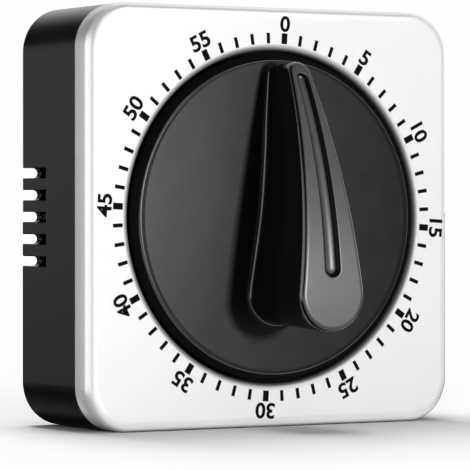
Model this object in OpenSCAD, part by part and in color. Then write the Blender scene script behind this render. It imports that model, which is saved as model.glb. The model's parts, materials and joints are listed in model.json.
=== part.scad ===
// Square kitchen timer: a pressed steel front on a black moulded casing, a turning dial with a
// grip fin, and inside it a spring-driven movement with a bell.
// Millimetres. The timer stands on its underside: +Z is up, the dial faces -Y, +X is to the
// viewer's right. The origin is the middle of the underside. Depths are counted back from the
// steel face, and positions on a plate are [across, up] from the dial's axis.

/* [Case] */
// Width and height of the square case
case_w = 80; // [78:1:100]
// Depth of the case, steel face to back
case_d = 27.8; // [27.5:0.1:40]
// Corner radius of the case, seen from the front
corner_r = 8.5; // [7:0.5:12]
// Depth of the steel cover's side flange
cover_depth = 5.8; // [5.6:0.1:6.2]
// Thickness of the steel sheet
cover_t = 0.5; // [0.4:0.05:0.7]
// Outside radius of the steel's front edge
cover_edge_r = 2; // [1.2:0.1:3]
// Wall of the moulded casing
casing_wall = 1.8; // [1.4:0.1:2.2]
// Radius of the casing's rear edge
rear_edge_r = 0.8; // [0.4:0.1:1.6]
// Distance of the casing screws from the sides
boss_inset = 8.5; // [7.5:0.1:9]

/* [Side slots] */
// Slots on each side
slot_count = 5; // [1:1:9]
// Distance from one slot to the next
slot_pitch = 4.2; // [3:0.1:5]
// Height of a slot
slot_h = 1.95; // [1:0.05:2.5]
// Length of a slot along the side, from the back
slot_side = 10.2; // [4:0.1:16]
// Length of a slot on the back, from the side
slot_back = 3.3; // [2:0.1:5]

/* [Dial] */
// Diameter of the round hole in the steel
hole_d = 63.4; // [62:0.1:66]
// Outside radius of the rolled edge of that hole
lip_r = 1.2; // [0.6:0.1:2]
// Depth of the rolled edge
lip_depth = 2.4; // [1.5:0.1:3]
// Gap round the dial, dial to steel
dial_gap = 0.5; // [0.2:0.05:1]
// Width of the bevel round the dial's flat face
dial_bevel = 1.45; // [0.5:0.05:3]
// How far the flat face stands out of the steel
dial_proud = 0.7; // [0:0.1:2]
// Thickness of the dial's disc
disc_t = 2; // [1.5:0.1:2.5]
// Depth of the dial's skirt behind the steel face
skirt_depth = 3.6; // [2.5:0.1:3.7]
// Wall of the dial's skirt
skirt_wall = 1.4; // [1:0.1:2]

/* [Grip fin] */
// Height of the fin's crown above the steel face
grip_h = 21; // [15:0.5:26]
// Gap between the narrow end and the dial's edge
grip_tip_gap = 1.9; // [1.7:0.1:7]
// Gap between the wide end and the dial's edge
grip_end_gap = 10; // [2:0.1:15]
// Radius of the narrow end
grip_tip_r = 2.3; // [1.8:0.1:3.5]
// Radius of the wide end
grip_end_r = 6.9; // [5:0.1:8]
// Radius of the crowned top, along the fin
crown_r = 90; // [70:1:140]
// Place of the crown's highest line, below the dial's axis
crown_low = 17; // [10:0.5:22]
// Width of the groove in the fin's top
groove_w = 2.9; // [2:0.1:3.6]
// Depth of the groove
groove_depth = 1.1; // [0.6:0.1:1.6]
// Gap between the groove's upper end and the fin's narrow end
groove_margin = 2.3; // [2:0.1:5]
// Lower end of the groove, below the dial's axis
groove_low = 11; // [4:0.5:14]
// Wall left round the fin's hollow core
core_wall = 3; // [2.5:0.1:3.5]

/* [Movement frame] */
// Depth of the front plate's face
front_plate_at = 8; // [7.9:0.1:8.4]
// Thickness of both plates
plate_t = 0.8; // [0.6:0.1:1]
// Distance between the plates
plate_gap = 11; // [11:0.1:11.5]
// Half width of the plates
plate_half_w = 29; // [28:0.5:29.5]
// Reach of the plates above the dial's axis
plate_up = 26; // [25:0.5:28]
// Reach of the plates below the dial's axis
plate_down = 29; // [28.5:0.5:29.5]
// Distance of the pillars from the middle line
pillar_x = 26; // [25.5:0.1:26]
// Upper pillars above the dial's axis
pillar_up = 22; // [21:0.5:23]
// Lower pillars below the dial's axis
pillar_down = 26; // [25.5:0.1:26]
// Diameter of a pillar
pillar_d = 5; // [4:0.1:5.2]

/* [Going train] */
// Module of the great wheel and its pinion
great_m = 0.5; // [0.5:0.01:0.51]
// Teeth of the great wheel
great_n = 72; // [72:6:72]
// Leaves of the second pinion
second_leaves = 12; // [12:1:12]
// Module of the second wheel and its pinion
second_m = 0.4; // [0.38:0.01:0.41]
// Teeth of the second wheel
second_n = 60; // [60:10:60]
// Leaves of the third pinion
third_leaves = 10; // [10:1:10]
// Module of the third wheel and its pinion
third_m = 0.35; // [0.34:0.01:0.36]
// Teeth of the third wheel
third_n = 60; // [60:10:60]
// Leaves of the escape pinion
escape_leaves = 10; // [10:1:10]
// Teeth of the escape wheel
escape_n = 15; // [12:1:18]
// Diameter of the escape wheel
escape_d = 11; // [9:0.1:11.2]
// Thickness of the great wheel
great_t = 1; // [0.8:0.1:1.2]
// Thickness of the other wheels
wheel_t = 0.7; // [0.5:0.05:0.8]

/* [Main arbor and spring] */
// Diameter of the arbor between the plates
arbor_d = 6; // [5:0.1:6.4]
// Diameter of the arbor's stem, through the dial
stem_d = 4; // [3:0.1:4.4]
// Diameter of the coiled mainspring
mainspring_d = 26.8; // [22:0.1:27]
// Turns of the mainspring
mainspring_turns = 8; // [5:1:9]
// Thickness of the mainspring's strip
mainspring_t = 0.35; // [0.2:0.05:0.45]
// Width of the mainspring's strip
mainspring_w = 3.8; // [3:0.1:3.9]

/* [Balance] */
// Diameter of the balance wheel
balance_d = 14; // [10:0.1:14.2]
// Turns of the hairspring
hairspring_turns = 5; // [3:1:6]

/* [Bell] */
// Diameter of the bell
bell_d = 40; // [32:0.5:41]
// Height of the bell
bell_h = 4.2; // [3:0.1:4.2]
// Sheet thickness of the bell
bell_t = 0.8; // [0.5:0.1:1]
// Gap between the resting hammer and the bell
hammer_gap = 1.2; // [0.8:0.1:1.6]
// Diameter of the hammer's head
hammer_d = 5; // [4:0.1:6]

/* [Fasteners and fits] */
// Radius of the screws' shanks
screw_r = 1.25; // [1:0.05:1.4]
// Radius of the screws' heads
screw_head_r = 2.4; // [2:0.1:2.5]
// Diameter of the magnets in the back
magnet_d = 12; // [8:0.5:13]
// Thickness of the magnets
magnet_t = 2; // [1.5:0.1:2.2]
// Radial clearance of a turning fit
turn_fit = 0.05; // [0.03:0.01:0.08]
// Clearance of a fixed fit
seat_fit = 0.05; // [0.02:0.01:0.1]
// Radial play round a screw
screw_play = 0.1; // [0.05:0.05:0.2]

/* [Hidden] */
$fn = 96;

// ---- Frame ----
face_y = -case_d / 2;
dial_z = case_w / 2;
eps = 0.01;
over = 1;

// ---- Case ----
hole_r = hole_d / 2;
// Width of the strip that is carried round each moulding and sheet
rim_w = 4.5;
lip_len = lip_r + 1;
boss_xy = case_w / 2 - boss_inset;
boss_r = 3;
boss_joint_at = 14;
screw_hole_r = screw_r + screw_play;
screw_seat_at = case_d - 7.2;
screw_head_h = 1.6;
screw_tip_at = 8;
magnet_x = case_w / 2 - 11;
magnet_r = magnet_d / 2;
magnet_cup_wall = 1.1;
magnet_floor = 0.8;

// ---- Dial carrier ----
carrier_gap = 0.1;
carrier_w = case_w - 2 * (cover_t + carrier_gap);
carrier_r = corner_r - cover_t - carrier_gap;
carrier_rim_t = 1.7;
carrier_t = 1.8;
carrier_front_at = cover_depth - carrier_t;
head_sink = 0.9;
standoff_r = 3.4;

// ---- Dial ----
dial_r = hole_r - dial_gap;
dial_face_r = dial_r - dial_bevel;
grip_up = dial_r - grip_tip_gap;
grip_down = dial_r - grip_end_gap;
bevel_drop = 0.75;
// The fin's flat sides lie this far inside its round ends' tangents
tangent_trim = 0.002;
core_tip_r = 0.8;
hub_r = 4;
hub_top = 8;
socket_top = 6.5;
stem_r = stem_d / 2;
stem_flat = 0.7;
stem_flat_at = skirt_depth;
clip_t = 0.7;
clip_w = 1.1;

// ---- Plates and arbors: depths ----
front_in = front_plate_at + plate_t;
back_at = front_in + plate_gap;
back_out = back_at + plate_t;
arbor_r = arbor_d / 2;
main_pivot_r = 1.5;
pivot_r = 0.6;
staff_r = 0.9;
end_shake = 0.1;
spring_at = front_in + 0.6;
ratchet_at = spring_at + mainspring_w + 0.5;
ratchet_t = 1.2;
great_at = ratchet_at + ratchet_t + 0.3;
washer_at = great_at + great_t + 0.15;
washer_t = 0.5;
second_at = great_at + great_t + 1;
cam_at = second_at + 0.1;
cam_t = 0.8;
third_at = second_at + wheel_t + 0.6;
escape_at = front_in + 3.4;
balance_at = front_in + 1.7;
balance_t = 1;
hairspring_at = front_in + 0.4;
hairspring_w = 0.6;
stop_at = front_plate_at - 1;
stop_t = 0.6;

// ---- Plates and arbors: places ----
second_turn = -35;
second_cd = great_m * (great_n + second_leaves) / 2;
third_cd = second_m * (second_n + third_leaves) / 2;
escape_cd = third_m * (third_n + escape_leaves) / 2;
third_ring = 20.5;
escape_ring = 24;
second_c = second_cd * [cos(second_turn), sin(second_turn)];
// Angle at the dial's axis between two arbors, from their distances to it and to each other
function angle_between(a, b, c) = acos((a * a + b * b - c * c) / (2 * a * b));
third_turn = second_turn - angle_between(second_cd, third_ring, third_cd);
third_c = third_ring * [cos(third_turn), sin(third_turn)];
escape_turn = third_turn - angle_between(third_ring, escape_ring, escape_cd);
escape_c = escape_ring * [cos(escape_turn), sin(escape_turn)];
pallet_dir = 165;
pallet_cd = 8.2;
pallet_c = escape_c + pallet_cd * [cos(pallet_dir), sin(pallet_dir)];
balance_dir = 150;
balance_cd = 9.5;
balance_c = pallet_c + balance_cd * [cos(balance_dir), sin(balance_dir)];
function heading(a, b) = atan2(b[1] - a[1], b[0] - a[0]);
function polar(r, a) = r * [cos(a), sin(a)];

// ---- Teeth, as shares of the pitch ----
wheel_fill = 0.42;
leaf_fill = 0.36;
root_share = 1.2;
tip_share = 0.4;
wheel_add = 1;
leaf_add = 0.75;
dedendum = 1.35;
leaf_face = 1.8;

// ---- Ratchet and click ----
ratchet_n = 16;
ratchet_r = 7;
ratchet_root = 5.8;
ratchet_phase = 36;
click_ring = 10.2;
click_boss_r = 1.6;
rivet_r = 0.8;
great_spokes = 5;
great_spoke_w = 3.6;

// ---- Stop ----
stop_ring = 15;
stop_pin_r = 0.4;
stop_half_w = 0.3;
stop_rest_gap = 0.3;
stop_half_angle = asin((stop_pin_r + stop_half_w) / stop_ring);

// ---- Escapement ----
escape_r = escape_d / 2;
escape_root = escape_r - 1.3;
pallet_pin_r = 0.3;
pallet_gap = 0.3;
pallet_spread = 32;
pallet_pin_ring = escape_r + pallet_pin_r + pallet_gap;
roller_ring = 2;
impulse_r = 0.3;
fork_reach = balance_cd - roller_ring - impulse_r - 0.3;

// ---- Strike ----
cam_r = 7;
cam_teeth = 5;
cam_tooth_angle = 6;
cam_notch = 1;
hammer_c = [-20, 20];
bell_c = [0, 6];
bell_r = bell_d / 2;
bell_at = back_out + 0.6;
hammer_r = hammer_d / 2;
hammer_at = bell_at + 1.2;
hammer_w = 2.6;
hammer_arm_t = 1;
hammer_head_c = bell_c + (bell_r + hammer_gap + hammer_r) * [cos(95), sin(95)];
lever_gap = 0.4;

// ---- Placing helpers ----

// A flat shape as a slab between two depths, about a place on the plates
module slab(d0, d1, c = [0, 0]) {
    translate([c[0], face_y + d1, dial_z + c[1]])
        rotate([90, 0, 0]) linear_extrude(d1 - d0) children();
}

// A round rod along the depth
module rod(r, d0, d1, c = [0, 0]) {
    translate([c[0], face_y + d1, dial_z + c[1]])
        rotate([90, 0, 0]) cylinder(r = r, h = d1 - d0);
}

// A shape drawn with its height standing out of the steel face
module on_face() {
    translate([0, face_y, dial_z]) rotate([90, 0, 0]) children();
}

// ---- Outline helpers ----

// A quarter of a box section whose corner at the origin is rounded
module rounded_edge(len, depth, r) {
    translate([r, 0]) square([len - r, depth]);
    translate([0, r]) square([len, depth - r]);
    translate([r, r]) circle(r);
}

// A square with round corners about the origin
module rounded_square(w, r) {
    rounded_rect([-w / 2, -w / 2], [w / 2, w / 2], r);
}

// Sheet bent round an edge: x runs in from the edge, y runs back
module bent_sheet(len, depth, r, t) {
    difference() {
        rounded_edge(len, depth, r);
        translate([t, t]) rounded_edge(len + over, depth + over, r - t);
    }
}

// A section carried round a rounded square: its x runs in from the side, its y runs back
module rim_sweep(w, r) {
    for (i = [0:3]) rotate([0, 0, 90 * i]) {
        translate([w / 2 - r, w / 2 - r, 0])
            rotate_extrude(angle = 90) translate([r, 0]) rotate(180) children();
        translate([0, w / 2 - r, 0]) rotate([90, 0, 0])
            linear_extrude(w - 2 * r) translate([w / 2, 0]) rotate(180) children();
    }
}

// A rectangle with round corners, from one corner to the other
module rounded_rect(p, q, r) {
    translate([p[0] + r, p[1]]) square([q[0] - p[0] - 2 * r, q[1] - p[1]]);
    translate([p[0], p[1] + r]) square([q[0] - p[0], q[1] - p[1] - 2 * r]);
    for (x = [p[0] + r, q[0] - r], y = [p[1] + r, q[1] - r]) translate([x, y]) circle(r);
}

// A strip along a straight line between two points
module bar(p, q, w) {
    translate(p) rotate(heading(p, q)) translate([0, -w / 2]) square([norm(q - p), w]);
}

// A bar with round ends
module link(p, q, w) {
    bar(p, q, w);
    for (c = [p, q]) translate(c) circle(w / 2);
}

// Toothed outline: fill is the tooth's share of the pitch, on the pitch circle
function toothed(n, m, add, fill) = [
    for (k = [0:n - 1], q = [
        [-dedendum, -root_share], [0, -1], [add, -tip_share],
        [add, tip_share], [0, 1], [-dedendum, root_share]
    ]) polar(m * (n / 2 + q[0]), 360 / n * (k + q[1] * fill / 2))
];

// Flat spiral strip from r0 to r1
function spiral(r0, r1, turns, t, steps = 24) = let (n = turns * steps) concat(
    [for (i = [0:n]) polar(r0 + (r1 - r0) * i / n, 360 * turns * i / n)],
    [for (i = [n:-1:0]) polar(r0 + t + (r1 - r0) * i / n, 360 * turns * i / n)]
);

// Windows that leave a rim, a hub and spokes
module windows(rim_r, hub_r, spokes, spoke_w) {
    difference() {
        circle(rim_r);
        circle(hub_r);
        for (i = [0:spokes - 1]) rotate(90 + 360 / spokes * i)
            translate([0, -spoke_w / 2]) square([rim_r + over, spoke_w]);
    }
}

// A train wheel with spokes, one tooth pointing along the angle given
module train_wheel(n, m, at, t, c, phase, bore_r, hub_r, spokes, spoke_w) {
    slab(at, at + t, c) difference() {
        rotate(phase) polygon(toothed(n, m, wheel_add, wheel_fill));
        windows(m * (n / 2 - dedendum) - 1.4, hub_r, spokes, spoke_w);
        circle(bore_r);
    }
}

// A steel arbor with its pivots and leaves, one gap pointing along the angle given
module train_arbor(n, m, at, c, phase) {
    rod(staff_r, front_in + end_shake, back_at - end_shake, c);
    rod(pivot_r, front_plate_at, back_out, c);
    slab(at, at + leaf_face, c) rotate(phase + 180 / n)
        polygon(toothed(n, m, leaf_add, leaf_fill));
}

// ---- Case ----

// Pressed steel cover: rounded edge, side flange, and a dial hole with a rolled edge
module front_cover() color([0.88, 0.88, 0.88]) on_face() {
    rim_sweep(case_w, corner_r) bent_sheet(rim_w, cover_depth, cover_edge_r, cover_t);
    translate([0, 0, -cover_t]) linear_extrude(cover_t) difference() {
        rounded_square(case_w - 2 * rim_w, corner_r - rim_w);
        circle(hole_r + lip_len);
    }
    rotate_extrude() translate([hole_r, 0]) mirror([0, 1])
        bent_sheet(lip_len, lip_depth, lip_r, cover_t);
}

// Section of the casing's wall, from its joint with the steel to the rounded rear edge
module casing_section() {
    difference() {
        intersection() {
            translate([0, case_d]) mirror([0, 1]) rounded_edge(rim_w, case_d, rear_edge_r);
            translate([0, cover_depth]) square([rim_w, case_d]);
        }
        translate([casing_wall, 0]) square([rim_w, case_d - casing_wall]);
    }
}

// One slot: along the side to the rear edge, and round it onto the back
module side_slot() {
    r = slot_h / 2;
    far = case_w / 2;
    translate([far - slot_back + r, case_d / 2 - slot_side, -r])
        cube([slot_back - r + over, slot_side + over, slot_h]);
    translate([far - slot_back + r, case_d / 2 + over, 0])
        rotate([90, 0, 0]) cylinder(r = r, h = casing_wall + 2 * over);
}

module casing_bosses() {
    back_in = case_d - casing_wall;
    for (x = [-1, 1], y = [-1, 1])
        rod(boss_r, boss_joint_at, back_in + eps, boss_xy * [x, y]);
    for (x = [-1, 1])
        rod(magnet_r + seat_fit + magnet_cup_wall, case_d - magnet_t - magnet_floor,
            back_in + eps, [x * magnet_x, 0]);
}

// Moulded casing: open at the front, slotted at both sides, with posts for four screws
module rear_casing() color([0.2, 0.2, 0.2]) difference() {
    union() {
        on_face() {
            rim_sweep(case_w, corner_r) casing_section();
            translate([0, 0, -case_d]) linear_extrude(casing_wall)
                rounded_square(case_w - 2 * rim_w, corner_r - rim_w);
        }
        casing_bosses();
    }
    for (x = [-1, 1], y = [-1, 1]) {
        rod(screw_hole_r, boss_joint_at - over, case_d + over, boss_xy * [x, y]);
        rod(screw_head_r + screw_play, screw_seat_at, case_d + over, boss_xy * [x, y]);
    }
    for (x = [-1, 1])
        rod(magnet_r + seat_fit, case_d - magnet_t, case_d + over, [x * magnet_x, 0]);
    for (side = [0, 1], k = [0:slot_count - 1])
        translate([0, 0, dial_z + slot_pitch * (k - (slot_count - 1) / 2)])
            mirror([side, 0, 0]) side_slot();
}

pillars = [
    [-pillar_x, pillar_up], [pillar_x, pillar_up], [-pillar_x, -pillar_down],
    [pillar_x, -pillar_down]
];

// Section of the carrier's rim, which backs the steel's flange
module carrier_section() {
    translate([0, cover_t + carrier_gap]) intersection() {
        rounded_edge(rim_w, cover_depth, cover_edge_r - cover_t);
        square([carrier_rim_t, cover_depth - cover_t - carrier_gap]);
    }
    translate([0, carrier_front_at]) square([rim_w, carrier_t]);
}

// Inner moulding that holds the steel cover and carries the movement
module dial_carrier() color([0.12, 0.12, 0.12]) difference() {
    union() {
        on_face() {
            rim_sweep(carrier_w, carrier_r) carrier_section();
            translate([0, 0, -cover_depth]) linear_extrude(carrier_t)
                rounded_square(carrier_w - 2 * rim_w, carrier_r - rim_w);
        }
        for (c = pillars) rod(standoff_r, cover_depth - eps, front_plate_at, c);
        for (x = [-1, 1], y = [-1, 1])
            rod(boss_r, cover_depth - eps, boss_joint_at, boss_xy * [x, y]);
    }
    rod(stem_r + 0.6, 0, front_plate_at);
    for (c = pillars) {
        rod(screw_hole_r, 0, front_plate_at + over, c);
        rod(screw_head_r + screw_play, 0, carrier_front_at + head_sink, c);
    }
    for (x = [-1, 1], y = [-1, 1])
        rod(screw_r + turn_fit, screw_tip_at - over, boss_joint_at + over, boss_xy * [x, y]);
}

// A pan-head screw with a cross slot; back is 1 where its head is at the rear
module screw(c, seat, tip, head_h, back) {
    top = back ? seat + head_h : seat - head_h;
    difference() {
        union() {
            rod(screw_r, min(seat, tip), max(seat, tip), c);
            rod(screw_head_r, min(seat, top), max(seat, top), c);
        }
        slab(min(seat, top) + (back ? head_h / 2 : -over), max(seat, top) +
            (back ? over : -head_h / 2), c) for (a = [0, 90]) rotate(a)
            square([2.6, 0.6], center = true);
    }
}

module casing_screws() color("silver")
    for (x = [-1, 1], y = [-1, 1])
        screw(boss_xy * [x, y], screw_seat_at, screw_tip_at, screw_head_h, true);

module rear_magnets() color([0.35, 0.35, 0.37])
    for (x = [-1, 1]) rod(magnet_r, case_d - magnet_t, case_d, [x * magnet_x, 0]);

// ---- Dial ----

// Teardrop outline of the fin, drawn in by a margin
module teardrop(margin) {
    down = grip_down - grip_end_r;
    growth = (grip_end_r - grip_tip_r) / (grip_up - grip_tip_r + down);
    lean = asin(growth);
    tip_r = max(grip_tip_r - margin, core_tip_r);
    end_r = grip_end_r - margin;
    up = grip_up - grip_tip_r - (tip_r - grip_tip_r + margin) / growth;
    side_tip_r = tip_r - tangent_trim;
    side_end_r = end_r - tangent_trim;
    translate([0, up]) circle(tip_r);
    translate([0, -down]) circle(end_r);
    polygon([
        [0, up] + side_tip_r * [cos(lean), sin(lean)],
        [0, up] + side_tip_r * [-cos(lean), sin(lean)],
        [0, -down] + side_end_r * [-cos(lean), sin(lean)],
        [0, -down] + side_end_r * [cos(lean), sin(lean)]
    ]);
}

// The space under the crown, drawn in by a margin
module under_crown(margin) {
    translate([0, -crown_low, grip_h - margin - crown_r]) rotate([0, 90, 0])
        cylinder(r = crown_r, h = 2 * hole_r, center = true, $fn = 200);
}

// The fin from the disc up to its crown, drawn in by a margin
module fin(base, margin) {
    intersection() {
        translate([0, 0, base]) linear_extrude(grip_h + over) teardrop(margin);
        under_crown(margin);
    }
}

// Round-bottomed groove that follows the crown
module groove() {
    r = groove_w / 2;
    up = grip_up - groove_margin - r;
    low = -groove_low + r;
    intersection() {
        linear_extrude(2 * grip_h) link([0, low], [0, up], groove_w);
        difference() {
            translate([0, -crown_low, 0]) cube([grip_h, 4 * grip_up, 4 * grip_h], center = true);
            under_crown(groove_depth);
        }
    }
}

// Dial: a disc with a bevelled edge and a skirt, the hollow grip fin, and the hub's D socket
module dial_knob() color([0.09, 0.09, 0.09]) on_face() difference() {
    union() {
        difference() {
            union() {
                rotate_extrude() polygon([
                    [0, dial_proud - disc_t], [dial_r - skirt_wall, dial_proud - disc_t],
                    [dial_r - skirt_wall, -skirt_depth], [dial_r, -skirt_depth],
                    [dial_r, -bevel_drop], [dial_face_r, dial_proud], [0, dial_proud]
                ]);
                fin(dial_proud - disc_t / 2, 0);
            }
            groove();
            fin(-skirt_depth, core_wall);
        }
        translate([0, 0, -skirt_depth]) cylinder(r = hub_r, h = skirt_depth + hub_top);
    }
    translate([0, 0, -skirt_depth - over]) linear_extrude(skirt_depth + over + socket_top)
        difference() {
            circle(stem_r + seat_fit);
            translate([stem_r - stem_flat + seat_fit, -stem_r - over])
                square([stem_r, 2 * (stem_r + over)]);
        }
}

// Open spring ring that grips the hub on the stem
module knob_clip() color("silver")
    slab(skirt_depth - clip_w - 0.2, skirt_depth - 0.2) difference() {
        circle(hub_r + seat_fit + clip_t);
        circle(hub_r + seat_fit);
        translate([hub_r + clip_t, 0]) square([2 * clip_t + 1, 2], center = true);
    }

// ---- Movement frame ----

module plate_outline() {
    rounded_rect([-plate_half_w, -plate_down], [plate_half_w, plate_up], 3);
}

// Holes for the pivots of every arbor but the main one
module pivot_holes() {
    for (c = [second_c, third_c, escape_c, pallet_c, balance_c, hammer_c])
        translate(c) circle(pivot_r + turn_fit);
}

module front_plate() color([0.78, 0.66, 0.36]) slab(front_plate_at, front_in) difference() {
    plate_outline();
    pivot_holes();
    circle(stem_r + turn_fit + 0.6);
    for (c = pillars) translate(c) circle(screw_hole_r);
    translate(polar(stop_ring, 90)) circle(stop_pin_r + turn_fit / 2);
}

module back_plate() color([0.78, 0.66, 0.36]) slab(back_at, back_out) difference() {
    plate_outline();
    for (c = [second_c, third_c, escape_c, pallet_c, balance_c])
        translate(c) circle(pivot_r + turn_fit);
    translate(hammer_c) circle(staff_r + turn_fit);
    circle(main_pivot_r + turn_fit);
    for (c = pillars) translate(c) circle(screw_r + turn_fit);
}

// A pillar: a shouldered post, tapped at the front, threaded at the rear
module pillar(c) color("silver") difference() {
    union() {
        rod(pillar_d / 2, front_in, back_at, c);
        rod(screw_r, back_at - eps, back_out + 2, c);
    }
    rod(screw_r + turn_fit, front_in - over, front_in + 4, c);
}

module pillar_nuts() color("silver") for (c = pillars)
    slab(back_out, back_out + 1.4, c) difference() {
        circle(2.5, $fn = 6);
        circle(screw_r + turn_fit);
    }

module movement_screws() color("silver")
    for (c = pillars) screw(c, carrier_front_at + head_sink, front_in + 3, head_sink, false);

// ---- Main arbor ----

module main_arbor() color([0.62, 0.62, 0.64]) difference() {
    union() {
        rod(arbor_r, front_in + 0.3, back_at - end_shake);
        rod(main_pivot_r, back_at - end_shake - eps, back_out);
        rod(stem_r, -socket_top + 0.3, front_in + 0.3 + eps);
    }
    slab(-socket_top, stem_flat_at) translate([stem_r - stem_flat, -stem_r - over])
        square([stem_r, 2 * (stem_r + over)]);
}

module front_bush() color([0.8, 0.62, 0.3]) difference() {
    union() {
        rod(stem_r + turn_fit + 1.3, front_plate_at - 0.3, front_plate_at);
        rod(stem_r + turn_fit + 0.6 - seat_fit, front_plate_at - eps, front_in + 0.1);
    }
    rod(stem_r + turn_fit, 0, back_at);
}

// Finger that meets the stop pin at both ends of the dial's travel
module stop_arm() color("silver") slab(stop_at, stop_at + stop_t) difference() {
    union() {
        circle(stem_r + 1.6);
        rotate(90 - stop_half_angle - stop_rest_gap) link([0, 0], [stop_ring + 0.4, 0],
            2 * stop_half_w);
    }
    circle(stem_r + seat_fit);
}

module stop_pin() color("silver")
    rod(stop_pin_r, stop_at - 0.2, front_in, polar(stop_ring, 90));

module mainspring() color([0.25, 0.27, 0.32])
    slab(spring_at, spring_at + mainspring_w) rotate(135)
        polygon(spiral(arbor_r + 0.3, mainspring_d / 2 - mainspring_t, mainspring_turns,
            mainspring_t));

module spring_post() color("silver")
    rod(1, front_in, spring_at + mainspring_w, polar(mainspring_d / 2 + 1.2, 135));

// Saw-toothed wheel that drives the great wheel through the click
module ratchet_wheel() color("silver") slab(ratchet_at, ratchet_at + ratchet_t) difference() {
    polygon([for (k = [0:ratchet_n - 1], r = [ratchet_r, ratchet_root])
        polar(r, ratchet_phase + 360 / ratchet_n * k)]);
    circle(arbor_r + seat_fit);
}

module great_wheel() color([0.8, 0.62, 0.3]) difference() {
    train_wheel(great_n, great_m, great_at, great_t, [0, 0], second_turn,
        arbor_r + turn_fit, ratchet_r + 0.6, great_spokes, great_spoke_w);
    rod(rivet_r + seat_fit, great_at - over, great_at + great_t + over, [0, click_ring]);
    rod(0.5 + seat_fit, great_at - over, great_at + great_t + over,
        polar(click_ring, 90 + 360 / great_spokes));
}

// The click leans on a ratchet tooth and turns on its rivet
module click() color("silver") slab(ratchet_at, ratchet_at + ratchet_t) difference() {
    union() {
        translate([0, click_ring]) circle(click_boss_r);
        polygon([
            polar(ratchet_root + 0.3, ratchet_phase + 2.2),
            polar(ratchet_r + 0.5, ratchet_phase + 2.2), [0.2, click_ring + 1.4],
            [0.7, click_ring - 0.3], polar(ratchet_r - 0.25, ratchet_phase + 10)
        ]);
        link([0, click_ring], [-2.8, click_ring + 0.3], 1.2);
    }
    translate([0, click_ring]) circle(rivet_r + turn_fit);
}

module click_rivet() color("silver") {
    rod(rivet_r, ratchet_at - 0.35, great_at + great_t, [0, click_ring]);
    rod(rivet_r + 0.5, ratchet_at - 0.35, ratchet_at - 0.1, [0, click_ring]);
}

// Leaf under the click's tail, held in the next spoke
module click_spring() color("silver") {
    post = polar(click_ring, 90 + 360 / great_spokes);
    rod(0.5, great_at - 1, great_at + great_t, post);
    slab(great_at - 1, great_at - 0.3) link(post, [-2.5, click_ring - 1.4], 0.4);
}

module thrust_washer() color([0.8, 0.62, 0.3]) slab(washer_at, washer_at + washer_t)
    difference() {
        circle(arbor_r + 2);
        circle(arbor_r + seat_fit);
    }

// Disc whose short row of teeth flicks the strike lever just before zero
module strike_cam() color("silver") slab(cam_at, cam_at + cam_t) difference() {
    circle(cam_r);
    for (k = [0:cam_teeth - 1]) rotate(135 - 3 - cam_tooth_angle * k) polygon([
        [cam_r + over, 0], polar(cam_r - cam_notch, 0),
        polar(cam_r + over / 2, -cam_tooth_angle * 0.8)
    ]);
    circle(arbor_r + seat_fit);
}

// ---- Going train ----

module second_arbor() color("silver")
    train_arbor(second_leaves, great_m, great_at - 0.4, second_c, second_turn + 180);

module second_wheel() color([0.8, 0.62, 0.3])
    train_wheel(second_n, second_m, second_at, wheel_t, second_c, heading(second_c, third_c),
        staff_r + seat_fit, 2.6, 4, 1.4);

module third_arbor() color("silver")
    train_arbor(third_leaves, second_m, second_at - 0.5, third_c, heading(third_c, second_c));

module third_wheel() color([0.8, 0.62, 0.3])
    train_wheel(third_n, third_m, third_at, wheel_t, third_c, heading(third_c, escape_c),
        staff_r + seat_fit, 2.4, 4, 1.2);

module escape_arbor() color("silver")
    train_arbor(escape_leaves, third_m, third_at - 0.5, escape_c, heading(escape_c, third_c));

module escape_wheel() color([0.8, 0.62, 0.3]) slab(escape_at, escape_at + wheel_t, escape_c)
    difference() {
        polygon([for (k = [0:escape_n - 1], q = [
            [escape_root, 0], [escape_r, 0.38], [escape_r, 0.5], [escape_root, 0.55]
        ]) polar(q[0], 360 / escape_n * (k + q[1]))]);
        windows(escape_root - 0.9, 1.7, 3, 0.9);
        circle(staff_r + seat_fit);
    }

// ---- Escapement ----

module plain_arbor(c) {
    rod(staff_r, front_in + end_shake, back_at - end_shake, c);
    rod(pivot_r, front_plate_at, back_out, c);
}

module pallet_arbor() color("silver") plain_arbor(pallet_c);

function pallet_pin(side) =
    escape_c + polar(pallet_pin_ring, pallet_dir + side * pallet_spread) - pallet_c;

// Lever with two arms for the pins and a fork that reaches for the balance
module pallet_lever() color([0.8, 0.62, 0.3]) slab(escape_at, escape_at + wheel_t, pallet_c)
    difference() {
        union() {
            circle(1.8);
            for (side = [-1, 1]) bar([0, 0], pallet_pin(side) * 0.84, 1);
            rotate(balance_dir) {
                translate([0, -0.5]) square([fork_reach - 1.6, 1]);
                translate([fork_reach - 1.7, -1]) square([1.7, 2]);
            }
        }
        rotate(balance_dir) translate([fork_reach - 1.1, -0.45]) square([2, 0.9]);
        circle(staff_r + seat_fit);
    }

module pallet_pins() color("silver") for (side = [-1, 1])
    rod(pallet_pin_r, escape_at - 0.2, escape_at + wheel_t + 0.6,
        pallet_c + pallet_pin(side));

module balance_staff() color("silver") {
    plain_arbor(balance_c);
    rod(2.5, balance_at + balance_t, balance_at + balance_t + 0.5, balance_c);
}

module balance_wheel() color([0.8, 0.62, 0.3])
    slab(balance_at, balance_at + balance_t, balance_c) difference() {
        circle(balance_d / 2);
        windows(balance_d / 2 - 1.2, 2.4, 2, 1.4);
        circle(staff_r + seat_fit);
    }

module impulse_pin() color("silver")
    rod(impulse_r, balance_at + balance_t + 0.5, escape_at + wheel_t,
        balance_c + polar(roller_ring, balance_dir + 180));

module hairspring() color([0.25, 0.3, 0.45])
    slab(hairspring_at, hairspring_at + hairspring_w, balance_c) rotate(60)
        polygon(spiral(staff_r + 0.4, 4.4, hairspring_turns, 0.15));

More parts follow.
